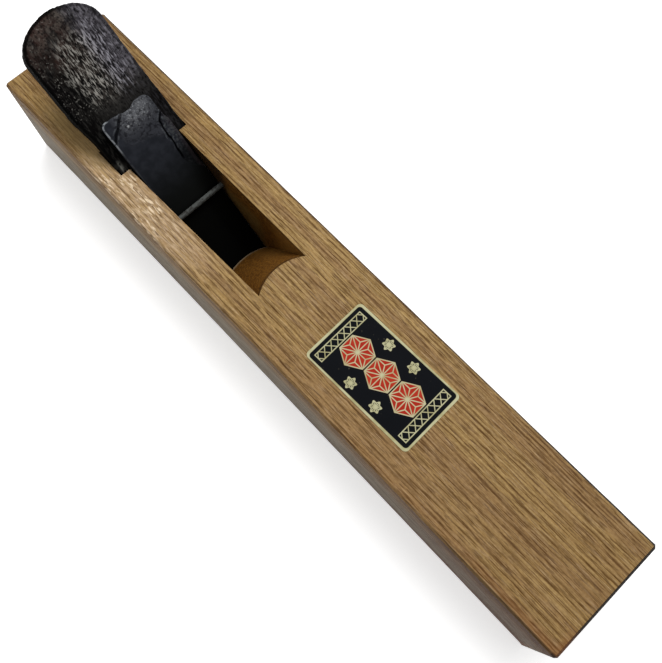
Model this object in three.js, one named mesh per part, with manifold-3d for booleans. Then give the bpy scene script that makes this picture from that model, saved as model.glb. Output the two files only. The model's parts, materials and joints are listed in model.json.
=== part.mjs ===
import * as THREE from 'three';
import { mergeVertices } from 'three/addons/utils/BufferGeometryUtils.js';
import Module from 'manifold-3d';

// Japanese kanna plane, in millimetres with +Z up.
// The origin is the middle of the sole. +Y runs along the block towards the struck head of the
// blade, and +X is to the right for someone who looks along +Y.

// Block
const blockLength = 273;
const blockWidth = 46.6;
const blockHeight = 41.8;
const edgeChamfer = 0.8;

// Bed and mouth. The upper face of the blade meets the sole at the mouth line. The irons were
// fitted by hand a little to the left of the middle, as the offsets below say.
const bedAngle = 39 * THREE.MathUtils.DEG2RAD;
const mouthFromNearEnd = 161.2;
const mouthGap = 1;

// Throat, open to the deck. Its front wall is an arc that bulges towards the blade.
const throatFrontAngle = 52.6 * THREE.MathUtils.DEG2RAD;
const throatFrontFromMouth = 17.1;
const throatFrontWidth = 21.5;
const throatRearWidth = 23;
const throatArcRise = 3.5;
const throatRearOffset = -0.4;
const returnAngle = 49.5 * THREE.MathUtils.DEG2RAD;

// Blade
const bladeLength = 121.2;
const bladeSetback = 0.4;
const bladeWidth = 29.8;
const bladeOffset = -0.6;
const bladeHeadWidth = 31;
const bladeHeadOffset = -1.5;
const bladeHeadRise = 10.7;
const bladeShoulderLength = 10;
const bladeEdgeThickness = 5.6;
const bladeHeadThickness = 9.2;
const bladeBevelAngle = 28 * THREE.MathUtils.DEG2RAD;
const bladeEarStart = 2;
const bladeEarHeight = 6;
const bladeSteelLength = 52;
const bladeSteelThickness = 1.3;
const hollowWidth = 20;
const hollowLength = 40;
const hollowDepth = 0.35;
const hollowFromEdge = 26;

// Chipbreaker
const chipbreakerLength = 82.4;
const chipbreakerSetback = 0.8;
const chipbreakerEdgeWidth = 20.8;
const chipbreakerWidth = 21.6;
const chipbreakerOffset = -0.5;
const chipbreakerParallelLength = 22.4;
const chipbreakerThickness = 2;
const chipbreakerEdgeThickness = 0.4;
const chipbreakerBevelLength = 13;
const chipbreakerSteelLength = 22;
const chipbreakerSteelThickness = 0.8;

// Ear bent down at the left of the chipbreaker's head
const earLift = 1.8;
const leftCornerRadius = 2.4;
const leftFoldHeight = 7.9;
const leftFoldShare = -0.24;

// Dent that the forging left in the top edge, with its corners from right to left
const dentDepth = 1.2;
const dentShares = [0.38, 0.16, -0.12];

// Flange bent down along the right side of the chipbreaker, measured down from its top
const rightCornerRadius = 2.8;
const rightShoulder = 1.2;
const flangeStart = 8;
const flangeBend = 10.6;
const flangeTop = 12;
const flangeEnd = 27;
const flangeFoot = 33;
const flangeDrop = 0.9;
const flangeBendShare = 0.655;
const flangeEndShare = 0.567;

// Pin
const pinDiameter = 2;
const pinFromMouth = 42;
const pinEmbed = 6.5;
const pinSink = 0.3;
const pinChamfer = 0.2;

// Label
const labelWidth = 26;
const labelLength = 45.8;
const labelThickness = 0.25;
const labelRadius = 1.6;
const labelFromNearEnd = 95.9;
const labelTurn = 1.2 * THREE.MathUtils.DEG2RAD;

// Clearances
const slideClearance = 0.3;
const strikeClearance = 1;
const weldGap = 0.1;
const holeClearance = 0.15;
const cutOverrun = 1;

// Fineness of the round shapes
const roundSides = 28;
const arcSteps = 32;
const cornerSteps = 6;

const mouthY = mouthFromNearEnd - blockLength / 2;
const deckReach = blockHeight / Math.sin(bedAngle);
const bladeTaper = (bladeHeadThickness - bladeEdgeThickness) / bladeLength;
const halfMouth = throatFrontWidth / 2;
const pinLeftEnd = -throatRearWidth / 2 - pinEmbed;
const chipbreakerPlace = bladeSetback + chipbreakerSetback;
const chipbreakerTilt = Math.asin(earLift / chipbreakerLength);
const chipbreakerTaperEnd = chipbreakerLength - chipbreakerParallelLength;

const wasm = await Module();
wasm.setup();

function solidOf(geometry) {
  const bare = geometry.clone();
  bare.deleteAttribute('normal');
  bare.deleteAttribute('uv');
  const merged = mergeVertices(bare);
  return new wasm.Manifold(
    new wasm.Mesh({
      numProp: 3,
      vertProperties: merged.attributes.position.array,
      triVerts: Uint32Array.from(merged.index.array),
    }),
  );
}

function geometryOf(solid) {
  const mesh = solid.getMesh();
  const geometry = new THREE.BufferGeometry();
  geometry.setAttribute('position', new THREE.BufferAttribute(mesh.vertProperties, 3));
  geometry.setIndex(new THREE.BufferAttribute(mesh.triVerts, 1));
  return geometry;
}

// The mirror image of the right half of an outline, walked on from where that half ends.
function mirrored(points) {
  return points.map(([x, y]) => [-x, y]).reverse();
}

// A quarter circle about a centre.
function quarter(x, y, radius, startAngle) {
  const points = [];
  for (let i = 0; i <= cornerSteps; i += 1) {
    const angle = startAngle + ((i / cornerSteps) * Math.PI) / 2;
    points.push([x + radius * Math.cos(angle), y + radius * Math.sin(angle)]);
  }
  return points;
}

function shapeOf(points) {
  return new THREE.Shape(points.map(([x, y]) => new THREE.Vector2(x, y)));
}

// A closed plate over flat regions that share their corners. The height functions give its
// upper and lower face, and every edge that only one region has becomes a side wall.
function plate(regions, upper, lower) {
  const corners = [];
  const places = new Map();
  const indexOf = ([x, y]) => {
    const key = `${x.toFixed(6)} ${y.toFixed(6)}`;
    if (!places.has(key)) {
      places.set(key, corners.length);
      corners.push([x, y]);
    }
    return places.get(key);
  };
  const loops = regions.map((region) => region.map(indexOf));
  const count = corners.length;
  const positions = [];
  [upper, lower].forEach((height) => {
    corners.forEach(([x, y]) => positions.push(x, y, height(x, y)));
  });
  const faces = [];
  const edges = new Set();
  loops.forEach((loop) => {
    const contour = loop.map((index) => new THREE.Vector2(...corners[index]));
    THREE.ShapeUtils.triangulateShape(contour, []).forEach((triangle) => {
      const [a, b, c] = triangle.map((index) => loop[index]);
      faces.push(a, b, c, count + a, count + c, count + b);
    });
    loop.forEach((index, i) => edges.add(`${index} ${loop[(i + 1) % loop.length]}`));
  });
  edges.forEach((edge) => {
    const [a, b] = edge.split(' ').map(Number);
    if (!edges.has(`${b} ${a}`)) {
      faces.push(a, count + a, count + b, a, count + b, b);
    }
  });
  const geometry = new THREE.BufferGeometry();
  geometry.setAttribute('position', new THREE.Float32BufferAttribute(positions, 3));
  geometry.setIndex(faces);
  return geometry;
}

// A side profile, drawn as [y, z], given a width across X.
function acrossBlock(profile, width) {
  const options = { depth: width, bevelEnabled: false };
  const geometry = new THREE.ExtrudeGeometry(shapeOf(profile), options);
  geometry.translate(0, 0, -width / 2);
  return geometry.rotateX(Math.PI / 2).rotateZ(Math.PI / 2);
}

// From the frame of the blade, whose Y runs up its upper face from the mouth line, to the block.
function onBed(geometry) {
  return geometry.rotateX(bedAngle).translate(0, mouthY, 0);
}

function blockBlank() {
  const halfWidth = blockWidth / 2;
  const right = [
    [halfWidth - edgeChamfer, 0],
    [halfWidth, edgeChamfer],
    [halfWidth, blockHeight - edgeChamfer],
    [halfWidth - edgeChamfer, blockHeight],
  ];
  const depth = blockLength - 2 * edgeChamfer;
  const geometry = new THREE.ExtrudeGeometry(shapeOf([...right, ...mirrored(right)]), {
    depth,
    bevelEnabled: true,
    bevelThickness: edgeChamfer,
    bevelSize: edgeChamfer,
    bevelOffset: -edgeChamfer,
    bevelSegments: 1,
  });
  return geometry.translate(0, 0, -depth / 2).rotateX(Math.PI / 2);
}

// How far up the blade the block still reaches, at its thickest.
const slotReach = deckReach + (bladeHeadThickness + slideClearance) / Math.tan(bedAngle);

// The wedge-shaped space of the blade: the bed below it and a groove in each cheek. Towards the
// sole it narrows to the mouth, where the ground ears of the blade come to lie.
function bladeSlot() {
  const halfSlot = bladeWidth / 2 + slideClearance;
  const earLow = bladeSetback + bladeEarStart - strikeClearance;
  const side = (sign) => [
    [sign * halfMouth, -cutOverrun],
    [sign * halfMouth, earLow],
    [bladeOffset + sign * halfSlot, earLow + bladeEarHeight],
    [bladeOffset + sign * halfSlot, slotReach + cutOverrun],
  ];
  const bed = (x, y) => bladeBack(x, y) - slideClearance;
  return onBed(plate([[...side(1), ...side(-1).reverse()]], () => slideClearance, bed));
}

const frontSlant = 1 / Math.tan(throatFrontAngle);
const returnSlant = 1 / Math.tan(returnAngle);
const frontY = mouthY - throatFrontFromMouth;

function throatCut() {
  const slotY = mouthY + blockHeight / Math.tan(bedAngle);
  const flare = (throatRearWidth - throatFrontWidth) / 2 / (slotY - frontY);
  const rearY = slotY + cutOverrun;
  const halfRear = halfMouth + flare * (rearY - frontY);
  const rearX = (throatRearOffset * (rearY - frontY)) / (slotY - frontY);
  const radius = (halfMouth ** 2 + throatArcRise ** 2) / (2 * throatArcRise);
  const sweep = Math.asin(halfMouth / radius);
  const outline = [[rearX + halfRear, rearY], [rearX - halfRear, rearY]];
  for (let i = 0; i <= arcSteps; i += 1) {
    const angle = sweep * ((2 * i) / arcSteps - 1);
    const rise = radius * (Math.cos(angle) - Math.cos(sweep));
    outline.push([radius * Math.sin(angle), frontY + rise]);
  }
  const depth = blockHeight + 2 * cutOverrun;
  const prism = new THREE.ExtrudeGeometry(shapeOf(outline), { depth, bevelEnabled: false });
  prism.translate(0, 0, -cutOverrun);
  prism.applyMatrix4(new THREE.Matrix4().makeShear(0, 0, 0, 0, 0, -frontSlant));
  prism.translate(0, blockHeight * frontSlant, 0);
  const aboveBlade = new THREE.BoxGeometry(blockWidth, blockLength, blockLength);
  aboveBlade.translate(0, 0, blockLength / 2);
  return solidOf(prism).intersect(solidOf(onBed(aboveBlade)));
}

// The way up from the mouth in front of the blade. The return face leans back over the mouth
// and meets the front wall of the throat in a nose, which is highest in the middle.
function mouthCut() {
  const sillY = mouthY - mouthGap;
  const noseHeight = (frontY + throatArcRise + blockHeight * frontSlant - sillY)
    / (frontSlant + returnSlant);
  const top = noseHeight + cutOverrun;
  const returnY = (z) => sillY + z * returnSlant;
  const bladeY = (z) => mouthY + z / Math.tan(bedAngle) + cutOverrun;
  const profile = [
    [returnY(-cutOverrun), -cutOverrun],
    [bladeY(-cutOverrun), -cutOverrun],
    [bladeY(top), top],
    [returnY(top), top],
  ];
  return acrossBlock(profile, throatFrontWidth);
}

// The axis of the pin, which bears on the upper face of the chipbreaker.
function pinAxis() {
  const lift = (pinFromMouth - chipbreakerPlace) * Math.sin(chipbreakerTilt);
  const face = slideClearance + lift + chipbreakerThickness;
  const height = face + slideClearance + pinDiameter / 2;
  return {
    y: mouthY + pinFromMouth * Math.cos(bedAngle) - height * Math.sin(bedAngle),
    z: pinFromMouth * Math.sin(bedAngle) + height * Math.cos(bedAngle),
  };
}

// The hole is drilled from the right side and ends inside the left cheek.
function pinHole() {
  const radius = pinDiameter / 2 + holeClearance;
  const start = pinLeftEnd - holeClearance;
  const length = blockWidth / 2 + cutOverrun - start;
  const { y, z } = pinAxis();
  const geometry = new THREE.CylinderGeometry(radius, radius, length, roundSides);
  return geometry.rotateZ(-Math.PI / 2).translate(start + length / 2, y, z);
}

function daiBlock() {
  const cut = solidOf(blockBlank())
    .subtract(solidOf(bladeSlot()))
    .subtract(throatCut())
    .subtract(solidOf(mouthCut()))
    .subtract(solidOf(pinHole()));
  return geometryOf(cut);
}

function retainingPin() {
  const radius = pinDiameter / 2;
  const length = blockWidth / 2 - pinSink - pinLeftEnd;
  const profile = [
    [0, 0],
    [radius - pinChamfer, 0],
    [radius, pinChamfer],
    [radius, length - pinChamfer],
    [radius - pinChamfer, length],
    [0, length],
  ];
  const points = profile.map(([x, y]) => new THREE.Vector2(x, y));
  return new THREE.LatheGeometry(points, roundSides).rotateZ(-Math.PI / 2);
}

function labelSheet() {
  const halfWidth = labelWidth / 2 - labelRadius;
  const halfLength = labelLength / 2 - labelRadius;
  const outline = [
    ...quarter(halfWidth, halfLength, labelRadius, 0),
    ...quarter(-halfWidth, halfLength, labelRadius, Math.PI / 2),
    ...quarter(-halfWidth, -halfLength, labelRadius, Math.PI),
    ...quarter(halfWidth, -halfLength, labelRadius, -Math.PI / 2),
  ];
  const options = { depth: labelThickness, bevelEnabled: false };
  return new THREE.ExtrudeGeometry(shapeOf(outline), options);
}

// The lower face of the blade, which falls away from the upper face towards the head.
function bladeBack(x, y) {
  return -bladeEdgeThickness - bladeTaper * (y - bladeSetback);
}

function bladeOutline() {
  const halfEdge = halfMouth - slideClearance;
  const halfBlade = bladeWidth / 2;
  const halfRound = bladeHeadWidth / 2;
  const roundY = bladeSetback + bladeLength - bladeHeadRise;
  const earLow = bladeSetback + bladeEarStart;
  const shoulderY = slotReach + strikeClearance;
  const side = (sign) => [
    [sign * halfEdge, bladeSetback],
    [sign * halfEdge, earLow],
    [bladeOffset + sign * halfBlade, earLow + bladeEarHeight],
    [bladeOffset + sign * halfBlade, shoulderY],
    [bladeHeadOffset + sign * halfRound, shoulderY + bladeShoulderLength],
  ];
  const round = [];
  for (let i = 0; i <= arcSteps; i += 1) {
    const angle = (i / arcSteps) * Math.PI;
    const x = bladeHeadOffset + halfRound * Math.cos(angle);
    round.push([x, roundY + bladeHeadRise * Math.sin(angle)]);
  }
  return [...side(1), ...round, ...side(-1).reverse()];
}

function bladeWedge() {
  const blank = plate([bladeOutline()], () => 0, bladeBack);
  const ground = new THREE.BoxGeometry(2 * bladeHeadWidth, bladeLength, bladeLength);
  ground.translate(0, 0, -bladeLength / 2);
  ground.rotateX(-bladeBevelAngle);
  ground.translate(0, bladeSetback, 0);
  return solidOf(blank).subtract(solidOf(ground));
}

// The layer of steel on one face of an iron, from its edge up to the weld line. A gap makes the
// layer larger, to clear its space in the iron body.
function steelLayer(width, length, thickness, fromTop, gap) {
  const reach = length + gap + cutOverrun;
  const depth = thickness + gap + cutOverrun;
  const layer = new THREE.BoxGeometry(width, reach, depth);
  const middle = depth / 2 - cutOverrun;
  return layer.translate(0, reach / 2 - cutOverrun, fromTop ? -middle : middle);
}

function bladeSteelLayer(gap) {
  const width = 2 * bladeHeadWidth;
  const layer = steelLayer(width, bladeSteelLength, bladeSteelThickness, true, gap);
  return solidOf(layer.translate(0, bladeSetback, 0));
}

function bladeBody() {
  return geometryOf(bladeWedge().subtract(bladeSteelLayer(weldGap)));
}

function bladeEdgeSteel() {
  const hollow = new THREE.SphereGeometry(1, arcSteps, arcSteps / 2);
  hollow.scale(hollowWidth / 2, hollowLength / 2, hollowDepth);
  hollow.translate(0, bladeSetback + hollowFromEdge, 0);
  return geometryOf(bladeWedge().intersect(bladeSteelLayer(0)).subtract(solidOf(hollow)));
}

// The rest of the chipbreaker is drawn in its own frame, whose Y runs up its lower face from
// its edge.

// The place across the chipbreaker, as a share of its half width, at a height up its side. Its
// sides taper towards the edge and run parallel near the top.
function chipbreakerAcross(share, y) {
  const taper = Math.min(1, y / chipbreakerTaperEnd);
  const width = chipbreakerEdgeWidth + (chipbreakerWidth - chipbreakerEdgeWidth) * taper;
  return chipbreakerOffset * taper + (share * width) / 2;
}

// A corner of the chipbreaker, at a distance below its top.
function below(share, drop) {
  const y = chipbreakerLength - drop;
  return [chipbreakerAcross(share, y), y];
}

const leftFold = {
  top: below(leftFoldShare, dentDepth / 2),
  side: below(-1, leftFoldHeight),
};
const flange = {
  start: [chipbreakerAcross(1, chipbreakerLength) - rightShoulder, below(1, flangeStart)[1]],
  bend: below(flangeBendShare, flangeBend),
  end: below(flangeEndShare, flangeEnd),
  foot: below(1, flangeFoot),
};

// How far a point lies to the right of the line from one point to another.
function rightOf([ax, ay], [bx, by], [x, y]) {
  const cross = (bx - ax) * (y - ay) - (by - ay) * (x - ax);
  return -cross / Math.hypot(bx - ax, by - ay);
}

// How far the ear and the flange are bent below the flat of the chipbreaker.
function bendDrop(x, y) {
  const earReach = rightOf(leftFold.top, leftFold.side, below(-1, 0));
  const earShare = rightOf(leftFold.top, leftFold.side, [x, y]) / earReach;
  const onSide = x > flange.bend[0] && y < flange.start[1] && y > flange.foot[1];
  return earLift * Math.max(0, earShare) + (onSide ? flangeDrop : 0);
}

function chipbreakerRegions() {
  const atHeight = (share, y) => [chipbreakerAcross(share, y), y];
  const bevelLeft = atHeight(-1, chipbreakerBevelLength);
  const bevelRight = atHeight(1, chipbreakerBevelLength);
  const rightX = flange.start[0] - rightCornerRadius;
  const leftX = below(-1, 0)[0] + leftCornerRadius;
  const bevel = [atHeight(-1, 0), atHeight(1, 0), bevelRight, bevelLeft];
  const flat = [
    bevelLeft,
    bevelRight,
    flange.foot,
    flange.end,
    flange.bend,
    flange.start,
    ...quarter(rightX, chipbreakerLength - rightCornerRadius, rightCornerRadius, 0),
    below(dentShares[0], 0),
    below(dentShares[1], dentDepth),
    below(dentShares[2], dentDepth),
    leftFold.top,
    leftFold.side,
    atHeight(-1, chipbreakerTaperEnd),
  ];
  const sideEnd = below(1, flangeEnd);
  const sideTop = below(1, flangeTop);
  const flangeFacets = [
    [flange.foot, sideEnd, flange.end],
    [flange.end, sideEnd, atHeight(1, chipbreakerTaperEnd), sideTop, flange.bend],
    [flange.bend, sideTop, flange.start],
  ];
  const leftEar = [
    leftFold.top,
    ...quarter(leftX, chipbreakerLength - leftCornerRadius, leftCornerRadius, Math.PI / 2),
    leftFold.side,
  ];
  return [bevel, flat, ...flangeFacets, leftEar];
}

function chipbreakerPlate() {
  const rise = (chipbreakerThickness - chipbreakerEdgeThickness) / chipbreakerBevelLength;
  const thickness = (y) => Math.min(chipbreakerThickness, chipbreakerEdgeThickness + rise * y);
  const upper = (x, y) => thickness(y) - bendDrop(x, y);
  return solidOf(plate(chipbreakerRegions(), upper, (x, y) => -bendDrop(x, y)));
}

function chipbreakerSteelLayer(gap) {
  const width = 2 * chipbreakerWidth;
  const thickness = chipbreakerSteelThickness;
  return solidOf(steelLayer(width, chipbreakerSteelLength, thickness, false, gap));
}

function chipbreakerBody() {
  return geometryOf(chipbreakerPlate().subtract(chipbreakerSteelLayer(weldGap)));
}

function chipbreakerEdgeSteel() {
  return geometryOf(chipbreakerPlate().intersect(chipbreakerSteelLayer(0)));
}

function piece(name, geometry, color, roughness, metalness) {
  const options = { color, roughness, metalness, flatShading: true };
  const mesh = new THREE.Mesh(geometry, new THREE.MeshStandardMaterial(options));
  mesh.name = name;
  return mesh;
}

const plane = new THREE.Group();
plane.add(piece('dai_block', daiBlock(), 0xa8834f, 0.62, 0));

const pin = piece('retaining_pin', retainingPin(), 0x5c5b5a, 0.42, 0.9);
pin.position.set(pinLeftEnd, pinAxis().y, pinAxis().z);
plane.add(pin);

const label = piece('label', labelSheet(), 0x15171a, 0.45, 0);
label.position.set(0, labelFromNearEnd - blockLength / 2, blockHeight);
label.rotation.z = labelTurn;
plane.add(label);

const blade = new THREE.Group();
blade.position.y = mouthY;
blade.rotation.x = bedAngle;
blade.add(piece('blade_body', bladeBody(), 0x262324, 0.66, 0.7));
blade.add(piece('blade_edge_steel', bladeEdgeSteel(), 0x77797c, 0.3, 1));
plane.add(blade);

const chipbreaker = new THREE.Group();
chipbreaker.position.set(0, chipbreakerPlace, slideClearance);
chipbreaker.rotation.x = chipbreakerTilt;
chipbreaker.add(piece('chipbreaker_body', chipbreakerBody(), 0x25282d, 0.5, 0.7));
chipbreaker.add(piece('chipbreaker_edge_steel', chipbreakerEdgeSteel(), 0x6f7276, 0.34, 1));
blade.add(chipbreaker);

export default plane;
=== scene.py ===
import json
import math

import bmesh
import bpy
import numpy as np
from bpy.props import FloatProperty, FloatVectorProperty, PointerProperty
from mathutils import Matrix, Vector, noise


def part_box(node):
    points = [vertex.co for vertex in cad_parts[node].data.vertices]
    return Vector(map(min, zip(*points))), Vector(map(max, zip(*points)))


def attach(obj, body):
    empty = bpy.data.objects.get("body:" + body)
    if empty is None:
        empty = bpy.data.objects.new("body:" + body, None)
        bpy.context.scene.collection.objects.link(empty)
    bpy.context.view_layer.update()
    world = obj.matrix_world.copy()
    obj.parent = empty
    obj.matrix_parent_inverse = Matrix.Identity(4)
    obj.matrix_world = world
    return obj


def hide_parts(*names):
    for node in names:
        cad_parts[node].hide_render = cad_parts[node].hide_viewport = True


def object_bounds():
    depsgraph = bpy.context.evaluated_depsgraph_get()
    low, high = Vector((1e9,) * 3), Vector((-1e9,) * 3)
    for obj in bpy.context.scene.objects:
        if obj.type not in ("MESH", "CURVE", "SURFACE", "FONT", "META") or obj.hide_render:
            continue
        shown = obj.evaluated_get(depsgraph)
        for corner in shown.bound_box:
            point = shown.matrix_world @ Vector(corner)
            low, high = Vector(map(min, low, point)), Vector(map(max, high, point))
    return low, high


bl_info = {
    "name": "Kanna Plane",
    "version": (1, 0, 0),
    "blender": (4, 5, 0),
    "location": "3D View > Sidebar > Kanna",
    "description": "Dresses the solids of a wooden pull plane in oak, forged iron and paper",
    "category": "Object",
}

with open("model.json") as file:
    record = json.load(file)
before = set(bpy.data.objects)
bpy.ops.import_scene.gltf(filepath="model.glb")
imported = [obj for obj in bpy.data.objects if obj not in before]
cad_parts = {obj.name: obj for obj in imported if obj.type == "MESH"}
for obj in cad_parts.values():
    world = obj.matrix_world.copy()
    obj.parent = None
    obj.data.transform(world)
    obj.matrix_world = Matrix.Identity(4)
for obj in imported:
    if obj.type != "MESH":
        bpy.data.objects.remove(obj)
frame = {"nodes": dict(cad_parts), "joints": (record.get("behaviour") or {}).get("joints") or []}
cad_low, cad_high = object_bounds()

MM = 0.001
IDENTITY = Matrix.Identity(4)
WELD = 0.002 * MM
FLAT_ANGLE = math.radians(0.3)
BEND_ANGLE = math.radians(2)
RIM_ANGLE = math.radians(40)
CRISP_ANGLE = math.radians(50)
UPWARD = 0.8


def tone(red, green, blue):
    """A display colour, 0 to 255 a channel, as the linear colour that a shader takes."""
    shares = [value / 255 for value in (red, green, blue)]
    return tuple(
        share / 12.92 if share <= 0.04045 else ((share + 0.055) / 1.055) ** 2.4
        for share in shares
    ) + (1.0,)


def colour(name, description, value):
    """A colour that the panel shows."""
    return FloatVectorProperty(
        name=name, description=description, default=value, size=4, min=0, max=1, subtype="COLOR"
    )


def length(name, description, value):
    """A length that the panel shows, given in millimetres."""
    return FloatProperty(
        name=name, description=description, default=value * MM, min=0, precision=5, unit="LENGTH"
    )


# Sizes and colours that a user may change


class BlockSettings(bpy.types.PropertyGroup):
    """Sizes and colours of the oak block."""

    edge_round: length("Edge rounding", "Radius that handling has worn on every edge", 0.22)
    edge_wear: length("Edge wear", "How far the long edges wander from straight", 0.12)
    ring_width: length("Ring width", "Distance between two growth rings", 1.05)
    vessel_depth: length("Vessel depth", "Depth of the open pores in the surface", 0.07)
    pale: colour("Pale oak", "Colour of the late wood", tone(192, 160, 105))
    warm: colour("Warm oak", "Colour of the early wood", tone(170, 134, 78))
    vessel: colour("Vessels", "Colour of the pores, filled with old oil", tone(70, 38, 5))
    rosy: colour("Rosy oak", "Colour of the redder bands along the grain", tone(156, 121, 81))
    fleck: colour("Flecks", "Colour of the silvery rays", tone(218, 190, 158))
    # Painted highlight: the colour of the sheen painted on the flecks beside the blade
    shine: colour("Shiny flecks", "Colour of the polished flecks beside the blade", tone(242, 218, 184))
    # Painted shade: the grey that the sides are painted as their shade
    grey: colour("Sides", "Colour of the weathered sides", tone(140, 133, 117))
    # Partly painted shade: the throat's colour stands for its shade as well as its oiled cuts
    inside: colour("Throat", "Colour of the oiled cuts inside the throat", tone(130, 89, 35))
    # Soil and painted shade: the dark on the outer edges, most of all at the near end, and just under
    # the deck inside the throat
    dirt_and_shade: colour("Dirt", "Colour of the dirt on the cut edges", tone(30, 22, 14))
    handled: colour("Handled edge", "Colour where hands have reddened the edge", tone(140, 88, 48))


class LabelSettings(bpy.types.PropertyGroup):
    """Sizes and colours of the paper label."""

    border: length("Border", "Width of the bare paper round the black panel", 0.95)
    medallion: length("Medallion", "From the middle of a medallion to its corner", 6.2)
    line: length("Line", "Width of the printed lines", 0.34)
    ground: colour("Ground", "Colour of the black panel", tone(9, 11, 15))
    paper: colour("Paper", "Colour of the border and the printed lines", tone(201, 198, 158))
    red: colour("Medallion red", "Colour of the three medallions", tone(172, 45, 30))


class IronSettings(bpy.types.PropertyGroup):
    """Sizes and colours of the blade and the chipbreaker."""

    blade_rim: length("Blade rim", "Radius of the blade's forged rim", 0.7)
    chipbreaker_rim: length("Chipbreaker rim", "Radius of the chipbreaker's rim", 0.35)
    hammer_depth: length("Hammer depth", "Depth of the marks that the hammer left", 0.2)
    crease_depth: length("Crease depth", "Depth of the crease along each bend", 0.22)
    scale_black: colour("Forge scale", "Colour of the black scale", tone(26, 24, 24))
    # Partly painted highlight: the pale of the worn strokes stands for their highlights too
    worn_highlit_scale: colour("Worn scale", "Colour where the scale is rubbed thin", tone(156, 153, 146))
    scale_brown: colour("Brown scale", "Colour of the old rust near the head", tone(64, 47, 42))
    scale_blue: colour("Blue scale", "Colour of the chipbreaker's smooth scale", tone(35, 37, 42))
    ground_steel: colour("Ground steel", "Colour of the whetted steel", tone(158, 160, 163))


class StageSettings(bpy.types.PropertyGroup):
    """Light and floor."""

    sky: FloatProperty(
        name="Sky", description="Strength of the even light from all round", default=0.38, min=0
    )
    key: FloatProperty(
        name="Key", description="Power of the large lamp above", default=36.0, min=0, unit="POWER"
    )
    floor: colour("Floor", "Colour of the floor", tone(243, 243, 243))


# Materials


class Signal:
    """One output socket of a material, as a value that Python's operators work on."""

    def __init__(self, finish, socket):
        self.finish = finish
        self.socket = socket

    def math(self, operation, *values):
        """The result of a Math node on these values."""
        return self.finish.node("ShaderNodeMath", {"operation": operation}, dict(enumerate(values)))

    def step(self, start, end):
        """A smooth change from 0 at the start to 1 at the end."""
        sockets = {"Value": self, "From Min": start, "From Max": end}
        settings = {"interpolation_type": "SMOOTHSTEP"}
        return self.finish.node("ShaderNodeMapRange", settings, sockets)

    def noise(self, size, detail=2.0, shift=(0, 0, 0), bend=0.0):
        """Noise from 0 to 1 whose grains have this size along X, Y and Z, and may be bent."""
        finish = self.finish
        spread = finish.vector("DIVIDE", finish.vector("ADD", self, shift), size)
        sockets = {"Vector": spread, "Scale": 1.0, "Detail": detail, "Distortion": bend}
        return finish.node("ShaderNodeTexNoise", {}, sockets)

    def __add__(self, other):
        return self.math("ADD", self, other)

    def __sub__(self, other):
        return self.math("SUBTRACT", self, other)

    def __rsub__(self, other):
        return self.math("SUBTRACT", other, self)

    def __mul__(self, other):
        return self.math("MULTIPLY", self, other)

    def __truediv__(self, other):
        return self.math("DIVIDE", self, other)

    def __abs__(self):
        return self.math("ABSOLUTE", self)

    __radd__ = __add__
    __rmul__ = __mul__


def smaller(first, second):
    """The smaller of two values."""
    return first.math("MINIMUM", first, second)


def larger(first, second):
    """The larger of two values."""
    return first.math("MAXIMUM", first, second)


def middle(first, second, third):
    """The middle one of three values."""
    return larger(smaller(first, second), smaller(larger(first, second), third))


def reach(first, second):
    """The length of a line with these two sides."""
    return first.math("SQRT", first * first + second * second)


class Finish:
    """The nodes of a material or of the sky, written as expressions. Lengths are in millimetres."""

    def __init__(self, owner):
        self.owner = owner
        owner.use_nodes = True
        self.tree = owner.node_tree
        self.tree.nodes.clear()

    def node(self, kind, settings, sockets, output=0):
        """A node of this kind. Its settings are made first, then its sockets."""
        made = self.tree.nodes.new(kind)
        for name, value in settings.items():
            setattr(made, name, value)
        for name, value in sockets.items():
            if isinstance(value, Signal):
                self.tree.links.new(value.socket, made.inputs[name])
            else:
                made.inputs[name].default_value = value
        if isinstance(output, tuple):
            return [Signal(self, made.outputs[index]) for index in output]
        return Signal(self, made.outputs[output])

    def vector(self, operation, first, second):
        """The result of a Vector Math node."""
        return self.node("ShaderNodeVectorMath", {"operation": operation}, {0: first, 1: second})

    def place(self):
        """Where on the piece a point lies, in the frame that the piece was made in."""
        return self.node("ShaderNodeAttribute", {"attribute_name": "place"}, {}, "Vector")

    def facing(self):
        """The direction that the surface faces, in the piece's own frame."""
        return self.split(self.node("ShaderNodeTexCoord", {}, {}, "Normal"))

    def split(self, vector):
        """The three parts of a vector."""
        return self.node("ShaderNodeSeparateXYZ", {}, {0: vector}, (0, 1, 2))

    def measured(self, name):
        """A value that the mesh carries at each point."""
        return self.node("ShaderNodeAttribute", {"attribute_name": name}, {}, "Fac")

    def blend(self, first, second, share):
        """The first colour, turned into the second by a share."""
        return self.node("ShaderNodeMix", {"data_type": "RGBA"}, {0: share, 6: first, 7: second}, 2)

    def painted(self, colour, *coats):
        """The colour under these coats, each of which is a colour and the share that it covers."""
        for coat, share in coats:
            colour = self.blend(colour, coat, share)
        return colour

    def relief(self, height, depth):
        """The surface direction of a relief whose height of 1 stands this high, in metres."""
        sockets = {"Height": height, "Distance": depth, "Strength": 1.0}
        return self.node("ShaderNodeBump", {}, sockets)

    def done(self, **sockets):
        """Ends the material with its shader, and gives it back."""
        named = {name.replace("_", " "): value for name, value in sockets.items()}
        shader = self.node("ShaderNodeBsdfPrincipled", {}, named)
        self.node("ShaderNodeOutputMaterial", {}, {"Surface": shader}, ())
        return self.owner


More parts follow.
